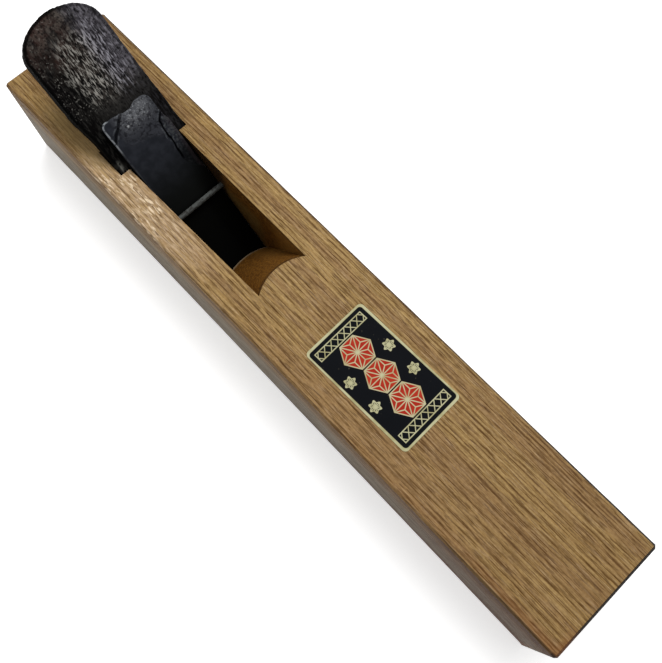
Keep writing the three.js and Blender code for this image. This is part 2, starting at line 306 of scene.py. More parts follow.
def oak_finish(settings):
    """Oiled oak: growth rings, dark vessels along the grain, rays with a painted sheen beside the
    blade, sides painted grey as shade, and soiled edges that also carry painted shade.
    """
    # The heart of the tree lay to the left of the block and below it
    pith_x = 105.0
    pith_z = 90.0
    half_width = cad_high.x / MM
    half_length = cad_high.y / MM
    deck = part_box("dai_block")[1].z / MM
    pin_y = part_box("retaining_pin")[0].y / MM
    finish = Finish(bpy.data.materials.new("oiled_oak"))
    place = finish.place()
    x, y, z = finish.split(place)
    facing_x, facing_y, facing_z = finish.facing()

    def outer(facing, depth):
        """1 on the outer faces that stand square to an axis, and 0 elsewhere."""
        return abs(facing).step(0.75, 0.95) * depth.step(3.0, 1.0)

    from_side = half_width - abs(x)
    from_end = half_length - abs(y)
    side = outer(facing_x, from_side)
    cloud = place.noise((26, 85, 26))
    drift = place.noise((11, 150, 11), 1.0, (40, 0, 7))
    wobble = place.noise((2.2, 60, 2.2), 1.0, (3, 9, 1))
    rosy = place.noise((7, 120, 7), 2.0, (13, 5, 1)).step(0.42, 0.60)
    radius = reach(x + pith_x, z + pith_z)
    ring = radius / (settings.ring_width / MM) + drift * 3.0 + wobble * 0.7
    early = ring.math("SINE", ring * math.tau) * 0.5 + 0.5
    fibre = place.noise((0.35, 7, 0.35), 1.0, (5, 0, 2)).step(0.35, 0.65)
    vessels = place.noise((0.35, 8, 0.35), 1.0).step(0.46, 0.60) * early.step(0.20, 0.85)
    dashes = place.noise((0.32, 5.5, 0.32), 1.0, (9, 30, 4)).step(0.57, 0.66)
    streaks = place.noise((0.36, 24, 0.36), 1.0, (1, 7, 12)).step(0.54, 0.63)
    silk = place.noise((0.42, 8, 0.42), 1.0, (6, 2, 9)).step(0.56, 0.66)
    pores = place.noise((0.5, 0.9, 0.5), 2.0, (4, 4, 1)).step(0.35, 0.65)
    mottle = place.noise((1.6, 5.0, 1.6), 3.0, (2, 8, 4)).step(0.40, 0.65)
    # The wood beside the blade is pale, partly flecks in its rays and partly a painted sheen, and its
    # flakes carry a painted highlight, strongest in the middle of the strip
    beside = y.step(16.0, 48.0) * y.step(100.0, 84.0) * x.step(-9.0, -15.0) * (1 - side)
    sheen = beside * y.step(40.0, 56.0) * y.step(92.0, 80.0)
    threads = place.noise((0.5, 5.0, 4.0), 2.0, (8, 2, 6)).step(0.46, 0.58)
    clusters = place.noise((3.0, 7.0, 9.0), 2.0, (5, 1, 3)).step(0.40, 0.60)
    flakes = place.noise((0.55, 3.4, 5.0), 2.0, (3, 5, 60)).step(0.51, 0.61)
    flakes = flakes * clusters * (1 - side)
    # Both ends of the deck are a little darker. Under the left of the blade's head the deck is painted
    # pale, a painted light that evens out the blade's shadow
    ends = 0.14 * y.step(-40.0, -120.0) + 0.17 * y.step(66.0, 112.0) * x.step(-5.0, 5.0)
    ends = ends + 0.10 * y.step(110.0, 124.0) * x.step(-5.0, -15.0)
    painted_light_under_head = y.step(76.0, 86.0) * y.step(124.0, 108.0) * x.step(-23.0, -18.0) * x.step(-5.0, -15.0)
    # The sides are painted grey from below as shade, and are darker along the top, low on the left
    # towards the near end, and most of all at the near end
    left = x.step(5.0, -5.0)
    darker_bands = z.step(30.0, 39.0) * (0.30 + 0.30 * left * y.step(-60.0, -120.0))
    darker_bands = darker_bands + 0.12 * z.step(30.0, 37.0) * y.step(75.0, 110.0)
    darker_bands = darker_bands + 0.34 * left * z.step(10.0, 3.0) * y.step(15.0, -40.0)
    lengthwise = place.noise((6.0, 44.0, 1.5), 2.0, (9, 4, 2)).step(0.36, 0.64)
    stained = darker_bands + lengthwise * 0.38 + mottle * 0.16 + y.step(-10.0, -125.0) * 0.42
    stained = stained + larger(vessels, dashes) * 0.12
    # The cuts of the throat are darker and browner, partly their kept oil and partly painted shade.
    # Past the pin they are painted near black as shadow, and they are darker just under the deck
    inside = z.step(deck - 0.05, deck - 0.35) * z.step(0.2, 1.2)
    inside = inside * from_side.step(1.0, 2.0) * from_end.step(1.0, 2.0)
    grained = place.noise((0.8, 1.0, 0.8), 3.0, (8, 2, 5)).step(0.34, 0.66)
    wall = abs(facing_x).step(0.7, 0.95)
    film = wall * z.step(34.0, 27.0) * y.step(30.0, 36.0)
    # Painted light: the right wall near the front and the lower right of the front wall are painted
    # light, to lift their shade
    painted_throat_light = wall * y.step(29.0, 18.0) + (1 - wall) * x.step(1.0, 8.0) * z.step(36.0, 22.0)
    # Painted highlight: a pale line along the nose of the front wall
    nose = finish.measured("nose").step(2.2, 1.0) * facing_z.step(0.0, 0.3)
    throat = finish.painted(
        settings.inside,
        (settings.vessel, 0.08 + grained * 0.8),
        (tone(140, 118, 68), film * 0.5),
        (tone(166, 120, 56), painted_throat_light * 0.45),
        (settings.dirt_and_shade, z.step(deck - 2.2, deck - 1.2) * 0.5),
        (tone(168, 146, 116), nose * 0.8),
        # Painted shadow: past the pin the throat is near black
        (tone(10, 7, 4), y.step(pin_y - 4.0, pin_y + 1.0) * 0.85),
    )
    # Dirt and painted shade sit on the edges, most of all at the near end, and hands have reddened the
    # left one
    edge = middle(from_side, from_end, smaller(z, deck - z))
    near_end = y.step(2.5 - half_length, 1.5 - half_length)
    dirt_and_shade = 0.2 + 0.5 * x.step(0.0, half_width) + 0.62 * near_end + 0.45 * y.step(-70.0, -120.0)
    cut = (edge - near_end * 0.08).step(0.95, 0.70) * (0.7 + 0.6 * cloud)
    handled = edge.step(4.5, 0.5) * drift.step(0.42, 0.60)
    handled = handled * x.step(-10.0, -20.0) * y.step(10.0, -60.0)
    wood = finish.painted(
        settings.pale,
        (settings.warm, early * 0.5 + cloud * 0.5),
        (settings.rosy, rosy * 0.6),
        (settings.fleck, silk * 0.20),
        (settings.vessel, fibre * 0.20),
        (settings.vessel, streaks * 0.30),
        (settings.vessel, pores * 0.20),
        (settings.fleck, beside * (0.22 + 0.40 * threads)),
        (settings.vessel, vessels * (0.62 - 0.20 * beside)),
        (settings.vessel, dashes * 0.54),
        # Painted highlight: the flakes are painted shiny, most of all in the sheen beside the blade
        (settings.shine, flakes * (0.04 + 0.96 * sheen)),
        (settings.vessel, ends),
        # Painted light that evens out the blade's shadow on the deck
        (settings.pale, painted_light_under_head * 0.45),
        # Painted shade: the sides are painted grey, most towards the bottom, and warmer oak at the top
        (settings.grey, side * (0.85 - 0.70 * z.step(18.0, 43.0))),
        (settings.warm, side * 0.6 * z.step(24.0, 40.0)),
        (settings.vessel, side * smaller(stained, 1.0)),
        # The cut ends have drunk more oil
        (settings.vessel, outer(facing_y, from_end) * 0.45),
        (throat, inside),
        (settings.dirt_and_shade, smaller(cut * dirt_and_shade, 1.0)),
        (settings.handled, handled * 0.45),
    )
    relief = 0.15 * early - vessels - dashes * 0.7 - streaks * 0.4
    return finish.done(
        Base_Color=wood,
        Roughness=0.55 + 0.15 * vessels - 0.12 * flakes * sheen,
        Specular_IOR_Level=0.12,
        Normal=finish.relief(relief, settings.vessel_depth),
    )


def pin_finish():
    """Drawn steel wire, dulled by age."""
    finish = Finish(bpy.data.materials.new("drawn_steel"))
    place = finish.place()
    stains = place.noise((1.2, 0.7, 0.7), 3.0)
    scratches = place.noise((6.0, 0.12, 0.12), 2.0)
    steel = finish.blend(tone(86, 89, 87), tone(58, 57, 55), stains.step(0.40, 0.65))
    return finish.done(
        Base_Color=steel,
        Metallic=0.0,
        Roughness=0.75,
        Specular_IOR_Level=0.08,
        Normal=finish.relief(scratches, 0.02 * MM),
    )


def hemp_leaf(finish, u, v, size):
    """A hemp-leaf star in a hexagon: how far a point lies outside the hexagon and off the lines."""
    angle = v.math("ARCTAN2", v, u)
    sixth = math.pi / 3
    folded = abs(angle - angle.math("ROUND", angle / sixth) * sixth)
    radius = reach(u, v)
    along = radius * folded.math("COSINE", folded)
    across = radius * folded.math("SINE", folded)
    slant = math.pi / 6
    hexagon = along * math.cos(slant) + across * math.sin(slant) - size * math.cos(slant)
    centre = size / math.sqrt(3)
    centre_x = centre * math.cos(slant)
    centre_y = centre * math.sin(slant)
    run = math.hypot(size - centre_x, centre_y)
    spoke = along * math.sin(slant) - across * math.cos(slant)
    leaf = ((along - centre_x) * centre_y + (across - centre_y) * (size - centre_x)) / run
    petals = smaller(larger(abs(spoke), along - centre_x), larger(abs(leaf), centre_x - along))
    return hexagon, smaller(across, petals)


def label_finish(settings, half_width, half_length):
    """Printed paper: a black panel with three red medallions, small stars and lozenge bands."""
    border = settings.border / MM
    corner = 1.7
    size = settings.medallion / MM
    half_line = settings.line / MM / 2
    spacing = size * math.sqrt(3) + 0.5
    star_size = 2.3
    star_column = 9.1
    band_start = 17.3
    band_height = 3.2
    soft = 0.08
    finish = Finish(bpy.data.materials.new("printed_paper"))
    place = finish.place()
    u, v = finish.split(place)[:2]

    def inset(amount, radius):
        """How far a point lies outside a rounded frame that is inset from the paper's edge."""
        over_u = abs(u) - (half_width - amount - radius)
        over_v = abs(v) - (half_length - amount - radius)
        outside = reach(larger(over_u, 0.0), larger(over_v, 0.0))
        return outside + smaller(larger(over_u, over_v), 0.0) - radius

    def inked(distance):
        """Ink on both sides of a line."""
        return abs(distance).step(half_line + soft, half_line - soft)

    panel = inset(border, corner - border / 2).step(soft, -soft)
    # The three medallions repeat along the label
    turn = v / spacing
    row = smaller(larger(turn.math("ROUND", turn), -1.0), 1.0)
    hexagon, lines = hemp_leaf(finish, u, v - row * spacing, size)
    inside = hexagon.step(soft, -soft)
    marks = larger(inked(lines) * inside, inked(hexagon + half_line))
    # Small stars stand in the notches between the medallions
    notch_v = abs(v) - spacing / 2
    outline, points = hemp_leaf(finish, abs(u) - star_column, notch_v, star_size)
    marks = larger(marks, inked(points) * outline.step(soft, -soft))
    # A band of lozenges closes the panel above and below
    half_band = half_width - 2.6
    step_u = half_band / 3.5
    wave = (u / step_u).math("PINGPONG", u / step_u + 0.5, 0.5) * step_u * 1.15
    middle_v = abs(v) - band_start - band_height / 2
    lozenge = abs(abs(middle_v) - wave) * 0.75
    band = larger(abs(u) - half_band, abs(middle_v) - band_height / 2)
    marks = larger(marks, larger(inked(lozenge) * band.step(soft, -soft), inked(band)))
    fade = place.noise((5, 5, 5), 3.0)
    fibre = place.noise((0.25, 0.25, 0.25), 2.0)
    scuff = place.noise((1.2, 1.2, 1.2), 3.0, (3, 8, 1)).step(0.68, 0.76)
    ground = finish.blend(settings.ground, tone(18, 20, 25), fade * 0.5)
    red = finish.blend(settings.red, tone(188, 60, 40), fade.step(0.4, 0.75))
    paper = finish.blend(settings.paper, tone(176, 170, 124), fade.step(0.4, 0.7))
    ink = finish.painted(ground, (red, inside), (paper, marks), (tone(110, 104, 86), scuff * 0.35))
    return finish.done(
        Base_Color=finish.blend(paper, ink, panel),
        Roughness=0.55 - 0.1 * panel + 0.12 * scuff,
        Specular_IOR_Level=0.02,
        Normal=finish.relief(fibre + 0.6 * marks * panel, 0.015 * MM),
    )


def blade_finish(settings, top):
    """Black forge scale with drawn strokes worn pale and painted with highlights, brown near the head,
    blue to the right.
    """
    groove_end = 68.0
    half_way = 99.0
    finish = Finish(bpy.data.materials.new("forge_scale"))
    place = finish.place()
    u, s, w = finish.split(place)
    rim = finish.measured("rim")
    ridge = finish.measured("ridge")
    hollow = finish.measured("hollow")
    grit = place.noise((0.4, 0.4, 0.4))
    blotch = place.noise((1.4, 1.9, 1.4), 4.0, (4, 2, 9))
    crust = place.noise((0.9, 0.9, 0.9), 3.0, (12, 1, 3))
    strokes = place.noise((0.52, 2.4, 0.52), 2.0, (7, 3, 0), 0.6)
    specks = place.noise((0.7, 0.8, 0.7), 1.0, (1, 6, 2))
    patches = place.noise((5.5, 7.0, 5.5), 3.0, (2, 11, 0))
    shade = place.noise((3.2, 4.2, 3.2), 2.0, (6, 4, 8))
    upper = w.step(-1.6, -0.8)
    # The strokes reach furthest to the left half-way up the drawn part
    centre = (u - 0.25 * abs(s - half_way)).step(-11.5, -7.5) * u.step(11.5, 7.5)
    centre = centre * s.step(85.0, 92.0) * s.step(top - 7.0, top - 14.0)
    right = u.step(1.0, 7.0) * s.step(86.0, 96.0)
    crown = s.step(top - 26.0, top - 16.0)
    left_low = u.step(-4.0, -9.0) * s.step(top - 13.0, top - 20.0)
    soft = blotch.step(0.40, 0.62)
    brown = u.step(3.0, -4.0) * s.step(top - 26.0, top - 15.0) * patches.step(0.34, 0.54)
    lit = soft * larger(crown, centre) * (0.72 - 0.34 * brown)
    outer = u.step(-7.0, -12.0) * s.step(top - 2.0, top - 12.0)
    dull = s.step(79.0, 84.0) * s.step(95.0, 88.0) * u.step(-12.0, -6.0)
    # The drawn strokes are pale, partly worn scale and partly painted highlight, with black between
    # them
    drawn = larger(centre, right * 0.75)
    lifted = strokes + (ridge - 0.5) * 0.10
    worn = lifted.step(0.46, 0.68) * (0.05 + 0.95 * centre + 0.45 * right * soft)
    pale = finish.blend(settings.worn_highlit_scale, tone(152, 150, 158), u.step(-1.0, 7.0))
    spots = specks.step(0.62, 0.72) * (0.10 + 0.22 * left_low + 0.14 * brown)
    # The block has rubbed the edges pale where they leave its grooves, most of all the left one
    rubbed = abs(s - groove_end).step(3.0, 0.8) * abs(u + 0.6).step(11.8, 13.8)
    rubbed = rubbed * blotch.step(0.36, 0.58) * u.step(14.0, -6.0)
    # Partly painted shade: the rim is painted near black, both as its own dark edge and as the shade of
    # the blade's sides
    dark_rim = rim.step(1.6, 0.9) * (0.9 - 0.55 * u.step(0.0, 8.0))
    back = finish.facing()[2].step(-0.2, -0.6)
    scale = finish.painted(
        settings.scale_black,
        (settings.scale_brown, brown * 0.75),
        (tone(92, 84, 78), lit),
        (tone(100, 97, 104), right * (0.66 + 0.34 * soft)),
        (tone(6, 6, 6), left_low * 0.8 + s.step(86.0, 77.0) * 0.45),
        (tone(6, 6, 6), outer * 0.5),
        (tone(12, 10, 10), shade.step(0.50, 0.36) * 0.6),
        (tone(66, 65, 62), dull * 0.22),
        (tone(8, 7, 8), hollow.step(0.2, 0.8) * 0.4),
        (tone(9, 8, 8), crust.step(0.47, 0.36) * 0.75),
        (tone(10, 10, 11), lifted.step(0.50, 0.36) * drawn * 0.85),
        # Pale strokes: worn scale and painted highlight
        (pale, smaller(worn, 1.0)),
        (settings.worn_highlit_scale, spots * s.step(84.0, 91.0) * upper),
        (tone(124, 124, 118), rubbed * 0.9),
        (tone(4, 4, 4), dark_rim),
    )
    # Below its upper face the blade is painted near black, partly dark scale and partly painted shade
    # of its sides; its underside is a little less dark
    return finish.done(
        Base_Color=finish.blend(tone(5, 5, 5), scale, larger(0.1 + 0.9 * upper, back * 0.6)),
        Metallic=0.0,
        Roughness=0.68 - 0.15 * worn,
        Specular_IOR_Level=0.01,
        Normal=finish.relief(grit * 0.5 + drawn * lifted.step(0.42, 0.60), 0.22 * MM),
    )


def chipbreaker_finish(settings, top):
    """Smooth blue-black scale, with a rough pale zone at the head and bright rims, partly rubbed and
    partly painted highlight, and with painted shade low down and in the folds.
    """
    finish = Finish(bpy.data.materials.new("blue_scale"))
    place = finish.place()
    u, s, w = finish.split(place)
    rim = finish.measured("rim")
    crease = finish.measured("crease")
    flange = finish.measured("flange")
    pit = finish.measured("hollow")
    grit = place.noise((0.45, 0.45, 0.45), 2.0, (5, 2, 8))
    blotch = place.noise((1.2, 1.2, 1.2), 3.0, (6, 1, 4))
    mottle = place.noise((2.8, 2.8, 2.8), 2.0, (1, 9, 3))
    # Painted shade: the lower part is painted darker as the shade of the throat, and near black to the
    # right and under the pin
    low = s.step(top - 14.0, top - 38.0)
    shadowed = u.step(1.0, 8.0) * low * 0.7 + s.step(top - 38.0, top - 43.0) * 0.8
    # The rough zone ends in a wavy line that falls from the left to the right
    border = s - (top - 12.6) + 0.35 * u + (mottle - 0.5) * 6.0 + (blotch - 0.5) * 3.0
    rough = border.step(-1.4, 1.6) * u.step(-8.4, -7.4)
    # Painted highlight: the upper middle of the rough zone, with pale specks
    rough_highlight = rough * s.step(top - 10.0, top - 3.0) * abs(u - 1.5).step(9.0, 3.0)
    # A painted glint: a pale spot at the left of the rough zone
    painted_glint = (reach(u + 3.5, s - top + 5.7) + blotch).step(1.15, 0.75)
    # The flange is scaly near the head, painted black as shadow further down, and brownish at its edge
    flange_low = s.step(top - 17.0, top - 25.0)
    scaly = flange * blotch.step(0.44, 0.60) * (0.95 - 0.7 * flange_low)
    # The folds are painted black as shade in their creases, and the lips beside them carry a painted
    # highlight
    lip = abs(crease - 0.8).step(0.4, 0.12) * blotch.step(0.40, 0.60)
    leftward = u.step(0.0, -3.0)
    fold = (crease - 0.12 * leftward).step(0.50, 0.22) * s.step(top - 27.5, top - 24.5)
    # The left rim is rubbed and painted with a highlight, brightest near the head
    bright = u.step(-7.5, -9.0) * rim.step(0.75, 0.3) * w.step(0.6, 1.2)
    bright = bright * (0.1 + 0.9 * s.step(top - 13.0, top - 9.0))
    scale = finish.painted(
        settings.scale_blue,
        (tone(45, 47, 53), mottle.step(0.3, 0.7)),
        (tone(19, 20, 19), low),
        (tone(8, 8, 7), smaller(shadowed, 1.0)),
        (tone(70, 71, 76), 0.40 * rough + 0.45 * rough_highlight),
        (tone(112, 114, 118), rough_highlight * mottle.step(0.30, 0.65) * 0.7),
        (tone(150, 152, 155), rough_highlight * grit.step(0.54, 0.68) * 0.75),
        (tone(18, 18, 21), rough * blotch.step(0.48, 0.34) * 0.65),
        (tone(176, 178, 180), painted_glint * 0.85),
        (tone(14, 14, 16), rough * pit.step(0.4, 0.9) * 0.5),
        (tone(66, 68, 70), scaly),
        (tone(10, 10, 11), flange * flange_low * 0.6),
        (tone(54, 42, 44), flange * u.step(8.0, 10.0) * 0.30),
        (tone(92, 95, 99), lip * s.step(top - 24.0, top - 16.0) * 0.45),
        (tone(2, 2, 3), fold * (0.95 - 0.2 * leftward)),
        (tone(140, 144, 148), bright * blotch.step(0.3, 0.5)),
    )
    return finish.done(
        Base_Color=scale,
        Metallic=0.0,
        Roughness=0.50 + 0.2 * rough + 0.35 * low,
        Specular_IOR_Level=0.0,
        Normal=finish.relief(grit * 0.1 + (rough + flange * 0.6) * (grit + blotch), 0.2 * MM),
    )


def steel_finish(settings):
    """Hard steel, whetted across its face."""
    finish = Finish(bpy.data.materials.new("whetted_steel"))
    place = finish.place()
    lines = place.noise((5.0, 0.09, 0.09), 2.0)
    haze = place.noise((4, 4, 4), 3.0)
    steel = finish.blend(settings.ground_steel, tone(112, 111, 108), haze.step(0.4, 0.7))
    # The scale is still on it above the whetted end
    whetted = 24.0
    bare = (finish.split(place)[1] + 3.0 * haze).step(whetted + 3.0, whetted)
    return finish.done(
        Base_Color=finish.blend(settings.scale_black, steel, bare),
        Metallic=bare,
        Roughness=0.7 - bare * (0.46 - 0.2 * haze),
        Normal=finish.relief(lines, 0.012 * MM),
    )


# Meshes


def irons_frame():
    """The frame of both irons: its origin is the cutting edge, Y runs up the blade and Z out of it."""
    slope = Vector(frame["joints"][0]["axis"]).normalized()
    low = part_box("blade_edge_steel")[0]
    out = Vector((0, -slope.z, slope.y))
    axes = Matrix((Vector((1, 0, 0)), slope, out)).transposed().to_4x4()
    return Matrix.Translation((0, low.y, low.z)) @ axes


def label_frame():
    """The frame of the label: its origin is the middle of its underside, and Y runs along it."""
    mesh = frame["nodes"]["label"].data
    low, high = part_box("label")
    sides = [
        mesh.vertices[edge.vertices[1]].co - mesh.vertices[edge.vertices[0]].co
        for edge in mesh.edges
    ]
    flat_sides = [side for side in sides if abs(side.x) < abs(side.y) / 2 and side.z == 0]
    along = max(flat_sides, key=lambda side: side.length)
    along = along if along.y > 0 else -along
    turn = Matrix.Rotation(math.atan2(-along.x, along.y), 4, "Z")
    centre = (low + high) / 2
    return Matrix.Translation((centre.x, centre.y, low.z)) @ turn


def carried(node, place):
    """A working copy of a node's mesh in a local frame, with its flat faces joined up."""
    work = bmesh.new()
    work.from_mesh(frame["nodes"][node].data)
    bmesh.ops.transform(work, matrix=place.inverted(), verts=work.verts)
    bmesh.ops.remove_doubles(work, verts=work.verts, dist=WELD)
    bmesh.ops.dissolve_limit(
        work, angle_limit=FLAT_ANGLE, verts=work.verts, edges=work.edges, use_dissolve_boundaries=False
    )
    return work


def sharp_edges(work, angle):
    """The edges where two faces meet at more than an angle."""
    return [edge for edge in work.edges if edge.calc_face_angle(0) > angle]


def slice_along(work, axis, step):
    """Cuts the faces at even steps along an axis, so that their edges can bend."""
    places = [vert.co.dot(axis) for vert in work.verts]
    count = int((max(places) - min(places)) / step)
    for index in range(1, count):
        point = axis * (min(places) + index * step)
        geometry = work.verts[:] + work.edges[:] + work.faces[:]
        bmesh.ops.bisect_plane(work, geom=geometry, dist=WELD, plane_co=point, plane_no=axis)


def added(name, data):
    """An object with this data, put in the scene."""
    made = bpy.data.objects.new(name, data)
    bpy.context.scene.collection.objects.link(made)
    return made


def piece_from(name, work):
    """An object from a working mesh."""
    mesh = bpy.data.meshes.new(name)
    work.to_mesh(mesh)
    work.free()
    return added(name, mesh)


def smooth(piece, angle):
    """Smooth shading, apart from edges sharper than an angle."""
    work = bmesh.new()
    work.from_mesh(piece.data)
    for face in work.faces:
        face.smooth = True
    for edge in work.edges:
        edge.smooth = edge.calc_face_angle(0) < angle
    work.to_mesh(piece.data)
    work.free()


def applied(piece, kind, **settings):
    """Adds a modifier to a piece and makes its result the piece's mesh."""
    modifier = piece.modifiers.new(kind, kind)
    for name, value in settings.items():
        setattr(modifier, name, value)
    depsgraph = bpy.context.evaluated_depsgraph_get()
    mesh = bpy.data.meshes.new_from_object(piece.evaluated_get(depsgraph))
    piece.modifiers.clear()
    piece.data = mesh


def finished(piece, place, material, body, node):
    """Moves a piece from its own frame to its place, and says what it is made of and stands for."""
    points = vertex_array(piece.data, "co") / MM
    attribute = piece.data.attributes.new("place", "FLOAT_VECTOR", "POINT")
    attribute.data.foreach_set("vector", points.astype(np.float32).ravel())
    piece.data.transform(place)
    piece.data.materials.clear()
    piece.data.materials.append(material)
    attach(piece, body)
    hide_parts(node)


def vertex_array(mesh, name):
    """The places or normals of a mesh's vertices."""
    values = np.zeros(len(mesh.vertices) * 3, np.float32)
    mesh.vertices.foreach_get(name, values)
    return values.reshape(-1, 3).astype(float)


def distance_to(points, segments):
    """The distance from each point to the nearest of the segments."""
    nearest = np.full(len(points), np.inf)
    for start, end in segments:
        start, end = np.array(start), np.array(end)
        side = end - start
        share = np.clip((points - start) @ side / (side @ side), 0, 1)
        foot = start + share[:, None] * side
        nearest = np.minimum(nearest, np.linalg.norm(points - foot, axis=1))
    return nearest


def carry(mesh, name, values):
    """Stores a value at each point of a mesh, for its material."""
    attribute = mesh.attributes.new(name, "FLOAT", "POINT")
    attribute.data.foreach_set("value", values.astype(np.float32))


def rise(values, start, run):
    """Shares that go from 0 at the start to 1 after a run."""
    return np.clip((values - start) / run, 0, 1)


def noise_at(points, size, seed):
    """Smooth noise from -1 to 1 at each point. The size of its grains is one length or three."""
    shift = Vector((seed, -seed, 2 * seed))
    scaled = points / np.array(size)
    return np.array([noise.noise(Vector(point) + shift) for point in scaled])


def dents_at(points, size, seed):
    """Round hollows, one in each cell of this size."""
    radius = 0.6
    deepest = 1.5
    shift = Vector((seed, seed, -seed))
    nearest = [noise.voronoi(Vector(point) + shift)[0][0] for point in points / size]
    return np.clip(1 - np.array(nearest) / radius, 0, 1) ** 2 * deepest


def forged(body, place, rim, grain):
    """A dense copy of an iron, with rounded rims except where its steel is welded in."""
    margin = 0.3 * MM
    wander_grain = 2.4 * MM
    wander_reach = 0.5 * MM
    work = carried(f"{body}_body", place)
    steel = frame["nodes"][f"{body}_edge_steel"].data
    upper = [face for face in work.faces if face.normal.z > UPWARD]
    outline = [edge for face in upper for edge in face.edges if edge.calc_face_angle(0) > RIM_ANGLE]
    flat = max(upper, key=lambda face: face.calc_area())
    bends = [edge for edge in flat.edges if BEND_ANGLE < edge.calc_face_angle(0) < RIM_ANGLE]
    segments = [
        [[vert.co.copy() for vert in edge.verts] for edge in edges] for edges in (outline, bends)
    ]
    corners = [place.inverted() @ vert.co for vert in steel.vertices]
    low = [min(corner[axis] for corner in corners) - margin for axis in range(3)]
    high = [max(corner[axis] for corner in corners) + margin for axis in range(3)]

    def welded(edge):
        """Whether the steel is let in at this edge."""
        centre = (edge.verts[0].co + edge.verts[1].co) / 2
        return all(low[axis] < centre[axis] < high[axis] for axis in range(3))

    round_edges = [edge for edge in sharp_edges(work, RIM_ANGLE) if not welded(edge)]
    bmesh.ops.bevel(work, geom=round_edges, offset=rim, segments=3, profile=0.5, affect="EDGES")
    piece = piece_from(f"{body}_iron", work)
    applied(piece, "REMESH", mode="VOXEL", voxel_size=grain, use_smooth_shade=True)
    applied(piece, "SMOOTH", factor=0.5, iterations=3)
    points = vertex_array(piece.data, "co")
    wander = noise_at(points, wander_grain, 23) * wander_reach
    wandering = points + wander[:, None] * np.array((1, 0, 0))
    for label, places, found in zip(("rim", "crease"), (points, wandering), segments):
        spread = distance_to(places, found) if found else np.full(len(points), 1.0)
        carry(piece.data, label, spread / MM)
    return piece


def add_steel(body, place, settings):
    """Makes the steel layer of an iron."""
    crisp_angle = math.radians(20)
    node = f"{body}_edge_steel"
    steel = piece_from(f"{body}_steel", carried(node, place))
    smooth(steel, crisp_angle)
    finished(steel, place, steel_finish(settings), body, node)


def sink(piece, depths):
    """Moves each vertex of a piece into it by a depth."""
    mesh = piece.data
    points = vertex_array(mesh, "co") - vertex_array(mesh, "normal") * depths[:, None]
    mesh.vertices.foreach_set("co", points.astype(np.float32).ravel())
    mesh.update()


# Operators, one for each piece or group of pieces


class MakeBlock(bpy.types.Operator):
    """Makes the oak block, with worn edges."""

    bl_idname = "kanna.make_block"
    bl_label = "Block"

    def execute(self, context):
        settings = context.scene.kanna_block
        slice_length = 2 * MM
        corner_angle = math.radians(30)
        crisp_angle = math.radians(35)
        work = carried("dai_block", IDENTITY)
        nose = [[vert.co.copy() for vert in edge.verts] for edge in work.edges if self.is_nose(edge)]
        slice_along(work, Vector((0, 1, 0)), slice_length)
        self.wear(work, settings)
        bmesh.ops.bevel(
            work,
            geom=sharp_edges(work, corner_angle),
            offset=settings.edge_round,
            segments=2,
            profile=0.5,
            affect="EDGES",
            clamp_overlap=True,
        )
        bmesh.ops.recalc_face_normals(work, faces=work.faces)
        piece = piece_from("oak_block", work)
        smooth(piece, crisp_angle)
        carry(piece.data, "nose", distance_to(vertex_array(piece.data, "co"), nose) / MM)
        finished(piece, IDENTITY, oak_finish(settings), "dai", "dai_block")
        return {"FINISHED"}

    def is_nose(self, edge):
        """Whether the front wall of the throat and the face that leans over the mouth meet here."""
        steep = 0.3
        folded = -0.05
        first, second = (face.normal for face in edge.link_faces)
        return min(first.y, second.y) > steep and first.z * second.z < folded

    def wear(self, work, settings):
        """Draws the outer edges in a little, by an amount that changes along the block."""
        low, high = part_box("dai_block")
        rub = 1.6 * MM
        nick_y = 47 * MM
        nick_length = 1.5 * MM
        nick_depth = 0.35 * MM
        wander_length = 9 * MM
        wander_height = 20 * MM
        for vert in work.verts:
            near_side = high.x - abs(vert.co.x) < rub
            near_face = min(vert.co.z - low.z, high.z - vert.co.z) < rub
            if near_side and near_face and high.y - abs(vert.co.y) > rub:
                side = 1 if vert.co.x > 0 else -1
                spot = Vector((side * 3, vert.co.y / wander_length, vert.co.z / wander_height))
                wander = noise.noise(spot)
                drawn_in = settings.edge_wear * (0.5 + 0.5 * wander)
                if side < 0 and vert.co.z > high.z / 2:
                    drawn_in += nick_depth * math.exp(-(((vert.co.y - nick_y) / nick_length) ** 2))
                vert.co.x -= side * drawn_in


class MakePin(bpy.types.Operator):
    """Makes the steel cross pin, with its ends a little domed by the hammer."""

    bl_idname = "kanna.make_pin"
    bl_label = "Pin"

    def execute(self, context):
        low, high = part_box("retaining_pin")
        centre = (low + high) / 2
        radius = (high.z - low.z) / 2
        half = (high.x - low.x) / 2
        sides = 48
        rings = 40
        dome = 0.3 * MM
        dome_share = 0.45
        dimple = 0.01 * MM
        dimple_grain = 1.5 * MM
        work = bmesh.new()
        circles = []
        for ring in range(rings + 1):
            share = ring / rings
            reach_x = half * (2 * share - 1)
            from_end = half - abs(reach_x)
            width = radius * math.sqrt(1 - max(0, 1 - from_end / dome) ** 2 * dome_share)
            circle = []
            for side in range(sides):
                turn = math.tau * side / sides
                out = Vector((0, math.cos(turn), math.sin(turn)))
                point = Vector((reach_x, 0, 0)) + out * width
                point -= out * abs(noise.noise(point / dimple_grain)) * dimple
                circle.append(work.verts.new(point))
            circles.append(circle)
        for first, second in zip(circles, circles[1:]):
            for side in range(sides):
                after = (side + 1) % sides
                work.faces.new((first[side], second[side], second[after], first[after]))
        work.faces.new(circles[0])
        work.faces.new(reversed(circles[-1]))
        bmesh.ops.recalc_face_normals(work, faces=work.faces)
        piece = piece_from("cross_pin", work)
        smooth(piece, CRISP_ANGLE)
        place = Matrix.Translation(centre)
        finished(piece, place, pin_finish(), "dai", "retaining_pin")
        return {"FINISHED"}


